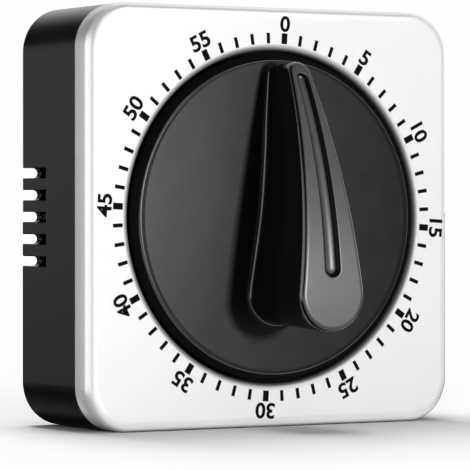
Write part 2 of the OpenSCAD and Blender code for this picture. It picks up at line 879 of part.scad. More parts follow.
module hairspring_stud() color("silver")
    rod(0.5, front_in, hairspring_at + hairspring_w, balance_c + polar(5.2, 60));

// ---- Strike ----

module hammer_arbor() color("silver") {
    rod(staff_r, front_in + end_shake, hammer_at + hammer_w, hammer_c);
    rod(pivot_r, front_plate_at, front_in + end_shake + eps, hammer_c);
}

module strike_lever() color("silver") slab(cam_at, cam_at + cam_t) difference() {
    union() {
        translate(hammer_c) circle(2);
        bar(hammer_c, polar(cam_r + lever_gap, 135), 1.6);
    }
    translate(hammer_c) circle(staff_r + seat_fit);
}

module hammer_arm() color("silver")
    slab(hammer_at + 0.8, hammer_at + 0.8 + hammer_arm_t) difference() {
        union() {
            translate(hammer_c) circle(2);
            bar(hammer_c, hammer_head_c - polar(hammer_r - 0.2, heading(hammer_c,
                hammer_head_c)), 1.6);
        }
        translate(hammer_c) circle(staff_r + seat_fit);
    }

module hammer_head() color([0.8, 0.62, 0.3]) difference() {
    rod(hammer_r, hammer_at, hammer_at + hammer_w, hammer_head_c);
    slab(hammer_at + 0.8 - seat_fit, hammer_at + 0.8 + hammer_arm_t + seat_fit)
        bar(hammer_c, hammer_head_c - polar(hammer_r - 0.5, heading(hammer_c,
            hammer_head_c)), 1.6 + 2 * seat_fit);
}

// Leaf beside the strike lever, on its own post
module hammer_spring() color("silver") {
    post = hammer_c + [8, 3];
    rod(0.8, front_in, cam_at + cam_t, post);
    slab(cam_at, cam_at + cam_t) link(post, hammer_c + [4.8, -2.2], 0.4);
}

module bell_post() color("silver") {
    rod(2.5, back_out, bell_at, bell_c);
    rod(screw_r, bell_at - eps, bell_at + bell_t + 2, bell_c);
}

// Shallow bell, open to the rear
module bell() color([0.75, 0.75, 0.77])
    translate([bell_c[0], face_y + bell_at, dial_z + bell_c[1]]) rotate([-90, 0, 0])
        difference() {
            rotate_extrude() translate([bell_r, 0]) mirror([1, 0])
                bent_sheet(bell_r, bell_h, 2.6, bell_t);
            translate([0, 0, -over]) cylinder(r = screw_r + turn_fit, h = bell_h);
        }

module bell_nut() color("silver")
    slab(bell_at + bell_t, bell_at + bell_t + 1.4, bell_c) difference() {
        circle(2.5, $fn = 6);
        circle(screw_r + turn_fit);
    }

front_cover();
rear_casing();
dial_carrier();
dial_knob();
knob_clip();
casing_screws();
rear_magnets();
front_plate();
back_plate();
pillar(pillars[0]);  // pillar_upper_left
pillar(pillars[1]);  // pillar_upper_right
pillar(pillars[2]);  // pillar_lower_left
pillar(pillars[3]);  // pillar_lower_right
pillar_nuts();
movement_screws();
main_arbor();
front_bush();
stop_arm();
stop_pin();
mainspring();
spring_post();
ratchet_wheel();
great_wheel();
click();
click_rivet();
click_spring();
thrust_washer();
strike_cam();
second_arbor();
second_wheel();
third_arbor();
third_wheel();
escape_arbor();
escape_wheel();
pallet_arbor();
pallet_lever();
pallet_pins();
balance_staff();
balance_wheel();
impulse_pin();
hairspring();
hairspring_stud();
hammer_arbor();
strike_lever();
hammer_arm();
hammer_head();
hammer_spring();
bell_post();
bell();
bell_nut();
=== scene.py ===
# %% [markdown]
# # A square kitchen timer
# The engineering model arrives as a fixed frame: every solid already sits where it belongs and
# moves with a named body. This lesson dresses it. The working parts keep their shapes and get
# metal and plastic finishes. The three pieces that the hand and the eye meet first are made
# again: the pressed steel cover, the turning dial and the moulded casing.

# %% Load the frame
import json
import math

import bmesh
import bpy
import numpy as np
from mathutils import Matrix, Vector


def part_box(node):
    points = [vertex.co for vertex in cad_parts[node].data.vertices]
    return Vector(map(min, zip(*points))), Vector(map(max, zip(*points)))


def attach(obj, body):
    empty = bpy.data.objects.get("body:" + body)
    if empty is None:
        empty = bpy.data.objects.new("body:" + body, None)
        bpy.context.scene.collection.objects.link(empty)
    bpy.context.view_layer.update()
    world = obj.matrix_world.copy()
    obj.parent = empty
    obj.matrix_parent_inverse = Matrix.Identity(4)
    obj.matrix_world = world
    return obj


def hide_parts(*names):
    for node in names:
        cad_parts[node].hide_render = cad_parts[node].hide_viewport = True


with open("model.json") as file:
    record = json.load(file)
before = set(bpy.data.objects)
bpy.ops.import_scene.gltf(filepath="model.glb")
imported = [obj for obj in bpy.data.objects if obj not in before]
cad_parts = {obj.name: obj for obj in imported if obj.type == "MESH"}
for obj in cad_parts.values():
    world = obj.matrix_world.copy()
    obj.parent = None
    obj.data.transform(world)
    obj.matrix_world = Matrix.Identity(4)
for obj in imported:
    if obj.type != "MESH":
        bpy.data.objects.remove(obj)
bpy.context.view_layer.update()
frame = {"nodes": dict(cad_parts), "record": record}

MM = 0.001

# %% [markdown]
# ## Where things are
# Sizes could be typed in again, but then a new piece would part from its neighbours as soon as
# the engineering model changed. So they are read off the frame's own boxes. Everything on the
# front is easiest to think of from the dial's axis: `across` to the right, `up`, and `out` of the
# steel towards the person who sets the timer. One function turns those three into the frame's
# metres.

# %% Measure the frame
cover_low, cover_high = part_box("front_cover")
dial_low, dial_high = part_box("dial_knob")

FACE_Y = cover_low.y / MM
DIAL_Z = (cover_low.z + cover_high.z) / 2 / MM
HALF_W = (cover_high.x - cover_low.x) / 2 / MM
FLANGE = (cover_high.y - cover_low.y) / MM
DIAL_R = (dial_high.x - dial_low.x) / 2 / MM
CROWN_TOP = FACE_Y - dial_low.y / MM


def to_frame(across, up, out):
    """A point's place in the frame: x is across, y runs back from the steel face, z is up."""
    across, up, out = np.broadcast_arrays(across, up, out)
    return np.stack([across, FACE_Y - out, DIAL_Z + up], axis=-1) * MM


def ring(flat, out):
    """A closed line of points (across, up), lifted out of the steel."""
    return to_frame(flat[:, 0], flat[:, 1], out)


print(f"case {2 * HALF_W:.1f} mm, dial radius {DIAL_R:.1f} mm, crown {CROWN_TOP:.1f} mm out")

# %% [markdown]
# ## Camera
# The viewer stands to the left of the timer, at about the height of the dial, with a long lens,
# so that upright edges stay upright. A camera could be placed by hand and turned until it looks
# right. Two angles, a distance and the point that it aims at say the same thing in words that
# can be checked, so its place and turn are worked out from those.

# %% Camera
AZIMUTH, ELEVATION = math.radians(-30.511), math.radians(0.484)
DISTANCE = 0.59914
AIM = Vector((-0.008873, FACE_Y * MM, 0.036631))
SENSOR_MM, LENS_MM = 36, 242.64
NEAREST, FARTHEST = 0.05, 60

back = Vector((
    math.sin(AZIMUTH) * math.cos(ELEVATION),
    -math.cos(AZIMUTH) * math.cos(ELEVATION),
    math.sin(ELEVATION),
))
camera = bpy.data.objects.new("camera", bpy.data.cameras.new("camera"))
camera.data.sensor_width, camera.data.lens = SENSOR_MM, LENS_MM
camera.data.clip_start, camera.data.clip_end = NEAREST, FARTHEST
camera.rotation_mode = "QUATERNION"
camera.rotation_quaternion = back.to_track_quat("Z", "Y")
camera.location = AIM + back * DISTANCE
bpy.context.scene.collection.objects.link(camera)
bpy.context.scene.camera = camera
bpy.context.scene.view_settings.view_transform = "Standard"
print("camera at", tuple(round(c, 4) for c in camera.location))

# %% [markdown]
# ## Shader sums as Python sums
# A finish is a small sum: noise times a strength plus a base value. Wiring that by hand hides
# the sum, so a `Wire` stands for a socket, and its operators add the Math nodes.

# %% Wires
class Wire:
    """A shader socket that can be used in a Python expression."""

    def __init__(self, board, socket):
        self.board, self.socket = board, socket

    def maths(self, operation, first, second):
        """A Math node on two wires or numbers."""
        return self.board.node("ShaderNodeMath", {"operation": operation}, {0: first, 1: second})

    def __add__(self, other):
        return self.maths("ADD", self, other)

    def __sub__(self, other):
        return self.maths("SUBTRACT", self, other)

    def __rsub__(self, other):
        return self.maths("SUBTRACT", other, self)

    def __mul__(self, other):
        return self.maths("MULTIPLY", self, other)

    def __truediv__(self, other):
        return self.maths("DIVIDE", self, other)

    __radd__ = __add__
    __rmul__ = __mul__


print("wires can be added, taken away, multiplied and divided")

# %% [markdown]
# A `Board` is a node tree with one method for every kind of node. It serves the finishes here
# and the room at the end. Colours are blended by a Mix node, because a Math node would turn
# them grey.

# %% Boards
class Board:
    """A node tree. node() adds any node: its settings are set first, then its sockets."""

    def __init__(self, tree):
        self.tree = tree

    def node(self, kind, settings=None, sockets=None, out=0):
        """Settings are the node's own fields, or the stops of a ramp as (place, grey) pairs."""
        made = self.tree.nodes.new(kind)
        for key, value in (settings or {}).items():
            if key == "stops":
                ramp = made.color_ramp.elements
                while len(ramp) < len(value):
                    ramp.new(0.5)
                for stop, (place, grey) in zip(ramp, value):
                    stop.position, stop.color = place, (grey, grey, grey, 1)
            else:
                setattr(made, key, value)
        for key, value in (sockets or {}).items():
            if isinstance(value, Wire):
                self.tree.links.new(value.socket, made.inputs[key])
            else:
                made.inputs[key].default_value = value
        return Wire(self, made.outputs[out]) if made.outputs else None

    def blend(self, factor, first, second):
        """A colour between two colours."""
        return self.node("ShaderNodeMix", {"data_type": "RGBA"},
                         {0: factor, 6: first, 7: second}, out=2)

    def greys(self, factor, low, high):
        """A grey between two greys."""
        return self.blend(factor, (low, low, low, 1), (high, high, high, 1))


print("boards make nodes, colour blends and grey blends")

# %% [markdown]
# A `Finish` is the board of one material. What is the same all over a piece goes straight onto
# the shader's sockets, and only patterns are wired. Patterns follow the piece's own place in
# millimetres, so that they move with it when it turns.

# %% Finishes
class Finish(Board):
    """A material: constants go straight onto the shader, and patterns are wired to it."""

    def __init__(self, name, constants):
        self.material = bpy.data.materials.new(name)
        self.material.use_nodes = True
        super().__init__(self.material.node_tree)
        self.shader = self.tree.nodes["Principled BSDF"]
        self.feed(constants)
        where = self.node("ShaderNodeTexCoord", out="Object")
        self.place = self.node("ShaderNodeVectorMath", {"operation": "SCALE"},
                               {0: where, "Scale": 1 / MM})

    def feed(self, sockets):
        """Wires the shader's sockets, or sets them; three numbers are a colour."""
        for key, value in sockets.items():
            if isinstance(value, Wire):
                self.tree.links.new(value.socket, self.shader.inputs[key])
            elif isinstance(value, tuple) and len(value) == 3:
                self.shader.inputs[key].default_value = (*value, 1)
            else:
                self.shader.inputs[key].default_value = value

    def noise(self, per_mm, detail=3.0):
        """Cloudy noise; per_mm is its scale along x, y and z, in cycles to the millimetre."""
        stretched = self.node("ShaderNodeVectorMath", {"operation": "MULTIPLY"},
                              {0: self.place, 1: per_mm})
        return self.node("ShaderNodeTexNoise", None,
                         {"Vector": stretched, "Scale": 1.0, "Detail": detail})

    def bump(self, height, depth_mm):
        """Relief from a height of 0 to 1, as deep as depth_mm."""
        self.feed({"Normal": self.node("ShaderNodeBump", None, {
            "Height": height, "Distance": depth_mm * MM, "Strength": 1.0})})


print("finishes have noise and relief")

# %% [markdown]
# ## Putting a surface into a mesh
# Each new piece is a grid of points: rings of points around, and a row of rings from one end of
# the profile to the other. It could be built face by face, but numpy works out all the points at
# once. The first helper makes curved parts shade smoothly while real corners stay crisp, and
# hangs the piece on the body that it moves with.

# %% Hang a piece on its body
SHARP = math.radians(32)
TOUCHING = 1e-7


def finished_mesh(name, mesh, body, finishes):
    """Shades a mesh, gives it its finishes, and hangs it on the body that it moves with."""
    mesh.polygons.foreach_set("use_smooth", np.ones(len(mesh.polygons), bool))
    mesh.set_sharp_from_angle(angle=SHARP)
    for finish in finishes:
        mesh.materials.append(finish.material)
    piece = bpy.data.objects.new(name, mesh)
    bpy.context.scene.collection.objects.link(piece)
    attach(piece, body)
    return piece


def tidy(mesh):
    """Joins points that lie together and turns every face outwards."""
    work = bmesh.new()
    work.from_mesh(mesh)
    bmesh.ops.remove_doubles(work, verts=work.verts, dist=TOUCHING)
    bmesh.ops.recalc_face_normals(work, faces=work.faces)
    volume = work.calc_volume(signed=True)
    if volume < 0:
        bmesh.ops.reverse_faces(work, faces=work.faces)
    loose = sum(not e.is_manifold for e in work.edges)
    work.to_mesh(mesh)
    work.free()
    print(f"{mesh.name}: {len(mesh.polygons)} faces, {abs(volume) / MM**3:.1f} mm3, "
          f"{loose} open edges")


# %% [markdown]
# The second helper joins the grid's points with four-sided faces. A profile that runs back to
# its own start is looped, and one that ends at the axis is closed there with a fan.

# %% Faces of a grid
def surface(name, rings, looped=False, caps=False, kinds=None):
    """Faces between neighbouring rings, and around each ring; kinds picks a finish per row.

    Ring r and place i give the face (r, i), (r + 1, i), (r + 1, i + 1), (r, i + 1)."""
    rows, around = rings.shape[:2]
    index = np.arange(rows * around).reshape(rows, around)
    low, high = (index, np.roll(index, -1, 0)) if looped else (index[:-1], index[1:])
    quads = np.stack([low, high, np.roll(high, -1, 1), np.roll(low, -1, 1)], -1)
    points, faces = rings.reshape(-1, 3), quads.reshape(-1, 4).tolist()
    if caps:
        last = index[-1]
        hub = len(points)
        points = np.vstack([points, rings[-1].mean(0)])
        faces += np.stack([last, np.full(around, hub), np.roll(last, -1)], -1).tolist()
    mesh = bpy.data.meshes.new(name)
    mesh.from_pydata(points.tolist(), [], faces)
    if kinds is not None:
        rows_of = np.repeat(kinds, around)
        spare = np.full(len(faces) - len(rows_of), rows_of[-1])
        mesh.polygons.foreach_set("material_index", np.concatenate([rows_of, spare]))
    tidy(mesh)
    return mesh


def arc(start, end, steps):
    """Angles in radians from start to end, given in degrees."""
    return np.radians(np.linspace(start, end, steps))


print("a quarter turn in four steps:", arc(0, 90, 4).round(3))

# %% [markdown]
# ## Steel finish
# The cover is stainless sheet with a fine satin grain. A fully metallic shader would show only
# what it mirrors; part metal and part pale paint also keeps the even white that brushed steel has
# under a soft box. Grain is noise that is stretched hard along one direction: it moves the
# roughness a little and scratches the surface a very little. The rim that is rolled into the
# hole faces the dark gap round the dial, so painted shade darkens its last millimetre or so.

# %% Steel finish
HOLE_R, LIP_R, LIP_DEPTH = 31.7, 1.2, 2.4
# How far the shade painted on the rolled rim reaches, and the grey that it darkens to.
RIM_SHADE_WIDTH, RIM_SHADE_GREY = 1.4, 0.05

cover_steel = Finish("satin_steel", {"Metallic": 0.55, "IOR": 1.5})
grain = cover_steel.noise((0.12, 3.5, 9.0), 4.0)
cloud = cover_steel.noise((0.05, 0.05, 0.05), 2.0)
from_axis = cover_steel.node("ShaderNodeVectorMath", {"operation": "SUBTRACT"},
                             {0: cover_steel.place, 1: (0, 0, DIAL_Z)})
in_face = cover_steel.node("ShaderNodeVectorMath", {"operation": "MULTIPLY"},
                           {0: from_axis, 1: (1, 0, 1)})
radius = cover_steel.node("ShaderNodeVectorMath", {"operation": "LENGTH"}, {0: in_face},
                          out="Value")
# Painted shade: the steel's colour darkens towards the hole, where the rolled rim faces the dark
# gap round the dial.
painted_rim_shade = cover_steel.node("ShaderNodeValToRGB", {"stops": [(0, 1), (0.35, 0.7), (1, 0)]},
                             {0: (radius - HOLE_R) / RIM_SHADE_WIDTH})
cover_steel.feed({
    "Base Color": cover_steel.blend(
        painted_rim_shade,
        cover_steel.greys(grain * 0.6 + cloud * 0.4, 0.79, 0.88),
        (RIM_SHADE_GREY, RIM_SHADE_GREY, RIM_SHADE_GREY, 1)),
    "Roughness": grain * 0.05 + 0.28,
})
cover_steel.bump(grain, 0.003)
print("the steel darkens from", HOLE_R + RIM_SHADE_WIDTH, "mm to", HOLE_R, "mm from the axis")

# %% [markdown]
# ## Steel cover
# On the real timer this is one pressing: a flat face, an edge rolled back into a short flange,
# and a round hole whose rim is rolled inwards. We could bevel a cut-out plate, but a rim that
# runs from a rounded square to a circle is easier as one profile carried around: every ring is
# a rounded square, a circle, or a mix of the two, so the face needs no cutting at all.

# %% Cover outline
CORNER_R, EDGE_R, SHEET = 8.5, 2.0, 0.5


def rounded_square(half, radius, on_side=72, on_corner=28):
    """Points and outward normals of a square with round corners, evenly turned from its middle.

    A side is the line across = half with up = half * tan(angle). A corner is the circle of the
    radius about (half - radius, half - radius). Four quarter turns complete the outline."""
    reach = half - radius
    edge = math.degrees(math.atan2(reach, half))
    turn = arc(-edge, edge, on_side)
    corner = arc(0, 90, on_corner + 2)[1:-1]
    side = np.stack([np.full(on_side, half), half * np.tan(turn)], -1)
    bend = reach + radius * np.stack([np.cos(corner), np.sin(corner)], -1)
    points = np.vstack([side, bend])
    normals = np.vstack([np.tile([1.0, 0.0], (on_side, 1)), (bend - reach) / radius])
    quarters = [np.array([[math.cos(q), math.sin(q)], [-math.sin(q), math.cos(q)]])
                for q in np.radians([0, 90, 180, 270])]
    return (np.vstack([points @ q for q in quarters]),
            np.vstack([normals @ q for q in quarters]))


rim, rim_normal = rounded_square(HALF_W, CORNER_R)
spoke = rim / np.linalg.norm(rim, axis=1, keepdims=True)
print("the cover's outline has", len(rim), "points")

# %% [markdown]
# The sheet has two skins, half a millimetre apart, and both follow the same profile: along the
# flange, round the rolled edge, over the face and down into the hole. The inner skin is the
# outer one with smaller arcs, so one function makes both, and the two are joined into a loop.

# %% Cover profile
FLANGE_SOFT = 0.06
FACE_MIX = [0.004, *np.linspace(0.1, 0.9, 6), 0.99]


def square_ring(inset, depth):
    """The outline, moved inwards by the inset along its normals, at a depth behind the face."""
    return ring(rim - inset * rim_normal, -depth)


def round_ring(radius, depth):
    """A circle about the dial's axis, at a depth behind the face."""
    return ring(radius * spoke, -depth)


def cover_rings(t):
    """One skin of the sheet, lying t inside its outer skin, from the flange to the hole's rim.

    Both rolls are quarter circles. Between them a ring is (1 - m) of the last square ring plus
    m of the first round one, with m close to 0 and 1 at the ends, which keeps the face flat."""
    edge = [square_ring(EDGE_R - (EDGE_R - t) * math.cos(a), EDGE_R - (EDGE_R - t) * math.sin(a))
            for a in arc(0, 90, 13)]
    lip = [round_ring(HOLE_R + LIP_R - (LIP_R - t) * math.sin(a),
                      LIP_R - (LIP_R - t) * math.cos(a)) for a in arc(0, 90, 11)]
    face = [(1 - m) * edge[-1] + m * lip[0] for m in FACE_MIX]
    return [square_ring(t, FLANGE - 2 * FLANGE_SOFT), *edge, *face, *lip,
            round_ring(HOLE_R + t, LIP_DEPTH)]


outer, inner = cover_rings(0.0), cover_rings(SHEET)
outer.insert(0, square_ring(FLANGE_SOFT, FLANGE))
inner.insert(0, square_ring(SHEET - FLANGE_SOFT, FLANGE))
cover = finished_mesh(
    "steel_cover", surface("steel_cover", np.stack(outer + inner[::-1]), looped=True),
    "case", [cover_steel])
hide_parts("front_cover")

# %% [markdown]
# ## Printed scale
# The minutes are printed in black round the hole: sixty marks, every fifth one broader, and a
# number at each broad mark that stands with its foot towards the dial. A picture of the scale
# would blur close up, so the print is real geometry. Ink has almost no thickness, but a flat
# sheet lying on steel would flicker, so each mark is a closed block that stands a few hundredths
# of a millimetre proud and sinks slightly into the sheet. A block's corners lie half a mark's
# length up and down its ray from the middle radius, and half its width to each side.

# %% Ink finish
ink = Finish("printed_ink", {"IOR": 1.15})
cover_of_ink = ink.noise((1.2, 1.2, 1.2), 2.0)
ink.feed({
    "Base Color": ink.greys(cover_of_ink, 0.001, 0.003),
    "Roughness": cover_of_ink * 0.2 + 0.4,
})
ink.bump(cover_of_ink, 0.002)
print("the ink has", len(ink.tree.nodes), "nodes")

# %% Marks
MARK_R, MARK_LEN, THIN_W, BROAD_W = 34.09, 2.05, 0.72, 1.25
PRINT_TURN = math.radians(3.48)
INK_OUT, INK_IN = 0.025, -0.02
MINUTE_TURN = math.radians(6)

minute = np.arange(60)
clock = minute * MINUTE_TURN + PRINT_TURN
radial = np.stack([np.sin(clock), np.cos(clock)], -1)
sideways = np.stack([np.cos(clock), -np.sin(clock)], -1)
width = np.where(minute % 5 == 0, BROAD_W, THIN_W)
ends = np.array([[-1, -1], [1, -1], [1, 1], [-1, 1]]) / 2
flat = (radial[:, None] * (MARK_R + ends[:, 1] * MARK_LEN)[None, :, None]
        + sideways[:, None] * (width[:, None] * ends[None, :, 0])[..., None])
block = np.stack([to_frame(flat[..., 0], flat[..., 1], h) for h in (INK_IN, INK_OUT)], 1)
corners = block.reshape(-1, 3)
sides = np.array([[0, 1, 2, 3], [7, 6, 5, 4], [0, 4, 5, 1], [1, 5, 6, 2], [2, 6, 7, 3],
                  [3, 7, 4, 0]])
marks = bpy.data.meshes.new("scale_marks")
marks.from_pydata(corners.tolist(), [],
                  (sides[None] + 8 * minute[:, None, None]).reshape(-1, 4).tolist())
tidy(marks)
finished_mesh("scale_marks", marks, "case", [ink])

# %% [markdown]
# ## Numbers
# Strokes could be drawn one by one, but Blender's own font is plain enough for a scale. Each
# number becomes a mesh while it still lies flat at the origin; numpy then fits it to its height
# and carries it to its mark, turned so that its foot points at the dial.

# %% One number
NUMBER_R, NUMBER_H, NUMBER_SQUEEZE, NUMBER_BOLD = 36.9, 3.07, 1.09, 0.027
FLAT_DEPTH, CURVE_STEPS = 0.01, 6


def number_mesh(text):
    """The points (across, up, thickness) of a number about its middle, and its faces."""
    curve = bpy.data.curves.new("number", "FONT")
    curve.body, curve.extrude, curve.offset = text, FLAT_DEPTH, NUMBER_BOLD
    curve.resolution_u = CURVE_STEPS
    flat_text = bpy.data.objects.new("number", curve)
    mesh = bpy.data.meshes.new_from_object(flat_text)
    points = np.empty(len(mesh.vertices) * 3)
    mesh.vertices.foreach_get("co", points)
    points = points.reshape(-1, 3)
    low, high = points.min(0), points.max(0)
    size = NUMBER_H / (high[1] - low[1])
    middle = (points - (low + high) / 2) * [size * NUMBER_SQUEEZE, size, 1]
    middle[:, 2] = np.where(middle[:, 2] > 0, INK_OUT, INK_IN)
    faces = [list(p.vertices) for p in mesh.polygons]
    bpy.data.objects.remove(flat_text)
    bpy.data.meshes.remove(mesh)
    return middle, faces


# %% All the numbers
points, faces, count = [], [], 0
for value in range(0, 60, 5):
    shape, parts = number_mesh(str(value))
    turn = value * MINUTE_TURN + PRINT_TURN
    out_dir = np.array([math.sin(turn), math.cos(turn)])
    right = np.array([math.cos(turn), -math.sin(turn)])
    spot = (NUMBER_R + shape[:, 1:2]) * out_dir + shape[:, :1] * right
    points.append(to_frame(spot[:, 0], spot[:, 1], shape[:, 2]))
    faces += [[count + v for v in face] for face in parts]
    count += len(shape)
numbers = bpy.data.meshes.new("scale_numbers")
numbers.from_pydata(np.vstack(points).tolist(), [], faces)
tidy(numbers)
finished_mesh("scale_numbers", numbers, "case", [ink])

# %% [markdown]
# ## Dial finishes
# The dial is one black moulding, but its surfaces are not alike. The disc is satin, and spreads
# a lamp into a wide sheen. The fin's crown is rougher, and its colour is painted greyer than the
# disc's as a painted sheen for the light that it catches. The bevel round the disc lies in the
# gap and stays deep black. The fin's wall and the disc's edge are polished and draw fine bright
# lines. One plastic with a painted mask could do all this, but each ring of the dial belongs to
# one of the four, so four plain finishes are simpler.

# %% Dial finishes
def moulded_black(name, ior, low, high, rough, cloud_per_mm, relief):
    """A black plastic whose colour and roughness drift together with one soft noise."""
    made = Finish(name, {"IOR": ior})
    drift = made.noise((cloud_per_mm,) * 3, 3.0)
    made.feed({
        "Base Color": made.greys(drift, low, high),
        "Roughness": drift * 0.06 + (rough - 0.03),
    })
    made.bump(made.noise((4.0, 4.0, 4.0), 2.0), relief)
    return made


dial_finishes = [
    moulded_black("dial_satin", 1.24, 0.0005, 0.001, 0.33, 0.25, 0.001),
    # The crown's paler greys are a painted sheen: the whole dial is one black plastic.
    moulded_black("crown_satin", 1.4, 0.012, 0.018, 0.40, 0.8, 0.0015),
    moulded_black("bevel_black", 1.15, 0.0005, 0.001, 0.50, 1.0, 0.001),
    moulded_black("edge_polish", 1.9, 0.001, 0.002, 0.15, 0.25, 0.0005),
]
SATIN, CROWN, BEVEL, POLISH = range(4)
print("dial finishes:", [finish.material.name for finish in dial_finishes])

# %% [markdown]
# ## Dial
# A disc, a bevel, a skirt and a fin with a waist, a fillet at its foot, a rounded edge, a crown
# and a groove: modelled apart, they would meet in seams. Instead one grid runs from the bottom
# of the groove over the crown, down the wall, through the fillet, out across the disc and round
# the skirt to the hub's socket. Each ring is an outline with the same number of points, so a
# teardrop can turn into a circle.

# %% Outlines
TIP_R, END_R = 2.3, 6.9
TIP_UP, END_UP = 27.0, -14.3
CROWN_R, CROWN_APEX = 90.0, -17.0
ON_TIP, ON_FLANK, ON_END = 26, 96, 44
GROOVE_UP, GROOVE_TIP_R, GROOVE_DOWN, GROOVE_END_R = 25.85, 1.15, -9.4, 1.6


def teardrop(tip_up, tip_r, end_up, end_r):
    """A small circle above a large one, joined by their common tangents, clockwise from the top.

    The tangents touch both circles where the normal leans up by asin of the radii's difference
    over the distance between the centres. Returns the points and their outward normals."""
    lean = math.degrees(math.asin((end_r - tip_r) / (tip_up - end_up)))
    turn = np.concatenate([arc(90, lean, ON_TIP), np.full(ON_FLANK, math.radians(lean)),
                           arc(lean, -90, ON_END)])
    along = np.concatenate([np.zeros(ON_TIP), np.linspace(0, 1, ON_FLANK + 2)[1:-1],
                            np.ones(ON_END)])
    normal = np.stack([np.cos(turn), np.sin(turn)], -1)
    centre_up = tip_up + (end_up - tip_up) * along
    radius = tip_r + (end_r - tip_r) * along
    point = radius[:, None] * normal + np.stack([np.zeros_like(along), centre_up], -1)
    mirror = np.array([-1, 1])
    return (np.vstack([point, point[-2:0:-1] * mirror]),
            np.vstack([normal, normal[-2:0:-1] * mirror]))


def crown(up):
    """Height of the crown above the steel: a circle of CROWN_R whose top lies at CROWN_APEX."""
    return CROWN_TOP - CROWN_R + np.sqrt(CROWN_R**2 - (up - CROWN_APEX) ** 2)


fin, fin_normal = teardrop(TIP_UP, TIP_R, END_UP, END_R)
groove, groove_normal = teardrop(GROOVE_UP, GROOVE_TIP_R, GROOVE_DOWN, GROOVE_END_R)
step = np.linalg.norm(np.roll(fin, -1, 0) - fin, axis=1)
share = np.concatenate([[0], np.cumsum(step)[:-1]]) / step.sum()
clockwise = np.stack([np.sin(2 * np.pi * share), np.cos(2 * np.pi * share)], -1)
print("the fin's outline has", len(fin), "points")

# %% [markdown]
# The fin's wall leans in as it nears the disc, most of all half way along: a bell curve over the
# height above the dial's axis says by how much. The fillet at its foot is broad along the sides
# and narrow at the tip, where the fin all but reaches the bevel.

# %% Fin measures
FACE_OUT, FACE_R = 0.7, 29.75
GROOVE_DEPTH, GROOVE_STEEP, GROOVE_EDGE = 1.1, 70, 0.3
FLARE, WAIST, WAIST_UP, WAIST_SPREAD = 0.12, 0.87, 2, 13
NARROWING_UP, NARROWING_LEN = 14, 14
SIDE_FILLET, TIP_FILLET_CUT = 0.95, 0.5
SIDE_EDGE_R, TIP_EDGE_CUT = 1.0, 0.3

fin_up = fin[:, 1]
waist = FLARE - WAIST * np.exp(-(((fin_up - WAIST_UP) / WAIST_SPREAD) ** 2))
toward_tip = np.clip((fin_up - NARROWING_UP) / NARROWING_LEN, 0, 1)
fillet = SIDE_FILLET - TIP_FILLET_CUT * toward_tip
edge_r = SIDE_EDGE_R - TIP_EDGE_CUT * toward_tip
steep = math.radians(GROOVE_STEEP)
edge_out = GROOVE_EDGE * math.sin(steep)
edge_drop = GROOVE_EDGE * (1 - math.cos(steep))
print(f"waist {-waist.min():.2f} mm, fillet {fillet.min():.2f} to {fillet.max():.2f} mm")

# %% [markdown]
# The groove is a narrow line moulded into the crown. Its bed is a round hollow that steepens to
# the brim, and the brim is rounded over onto the crown. A cutter taken out of the fin would leave
# a ragged edge, so both are arcs seen from the side, carried along the groove's own teardrop.

# %% Groove and crown rings
def offset(outline, normal, by):
    """The outline moved out along its normals, by one distance or by one for each point."""
    return outline + np.reshape(by, (-1, 1)) * normal


def groove_rings():
    """From the groove's middle line up its round wall and over its edge onto the crown.

    At the angle a the wall stands sin(a) of the way from the middle line to the outline, and
    its depth shrinks with the cosine of a. The edge is an arc of GROOVE_EDGE."""
    foot = np.stack([np.zeros(len(groove)), np.clip(groove[:, 1], GROOVE_DOWN, GROOVE_UP)], -1)
    made = []
    for a in arc(0, GROOVE_STEEP, 9):
        flat = foot + (groove - foot) * math.sin(a) / math.sin(steep)
        rise = (math.cos(a) - math.cos(steep)) / (1 - math.cos(steep))
        drop = edge_drop + (GROOVE_DEPTH - edge_drop) * rise
        made.append(ring(flat, crown(flat[:, 1]) - drop))
    for a in arc(GROOVE_STEEP, 0, 6)[1:]:
        flat = offset(groove, groove_normal, edge_out - GROOVE_EDGE * math.sin(a))
        made.append(ring(flat, crown(flat[:, 1]) - GROOVE_EDGE * (1 - math.cos(a))))
    return made


def crown_rings():
    """Across the crown, from the groove's edge to where the fin's own edge starts to turn."""
    start = offset(groove, groove_normal, edge_out)
    end = offset(fin, fin_normal, -edge_r)
    flats = [start + (end - start) * m for m in (0.04, *np.linspace(0.12, 0.88, 7), 0.97)]
    return [ring(flat, crown(flat[:, 1])) for flat in flats]


inside = groove_rings() + crown_rings()
print("the groove and the crown take", len(inside), "rings")

# %% [markdown]
# The wall starts as a quarter circle at the crown's edge. It then leans towards the waist, a
# little later than evenly, and turns through the fillet until it lies flat on the disc.

# %% Wall rings
LEAN_POWER = 1.2


def wall_rings():
    """Round the fin's edge, down its leaning wall and through the fillet onto the disc.

    The wall leans by the m to the LEAN_POWER share of the whole lean, m being the share of its
    height that is behind it; the edge and the fillet are quarter circles."""
    made = []
    for a in arc(0, 90, 10):
        flat = offset(fin, fin_normal, edge_r * (math.sin(a) - 1))
        made.append(ring(flat, crown(flat[:, 1]) - edge_r * (1 - math.cos(a))))
    high, low = crown(fin_up) - edge_r, FACE_OUT + fillet
    for m in np.linspace(0, 1, 14)[1:]:
        lean = (waist - fillet) * m**LEAN_POWER
        made.append(ring(offset(fin, fin_normal, lean), high + (low - high) * m))
    for a in arc(0, 90, 9)[1:]:
        flat = offset(fin, fin_normal, waist - fillet * math.cos(a))
        made.append(ring(flat, FACE_OUT + fillet * (1 - math.sin(a))))
    return made


walls = wall_rings()
print("the wall takes", len(walls), "rings")

# %% [markdown]
# The rest of the dial is turned: the flat face, the bevel with softened corners that dips below
# the steel, the skirt, and at the back the hub with the socket for the arbor. Its profile is a
# short list of corners (radius, out), and a helper rounds those of the face, bevel and skirt.

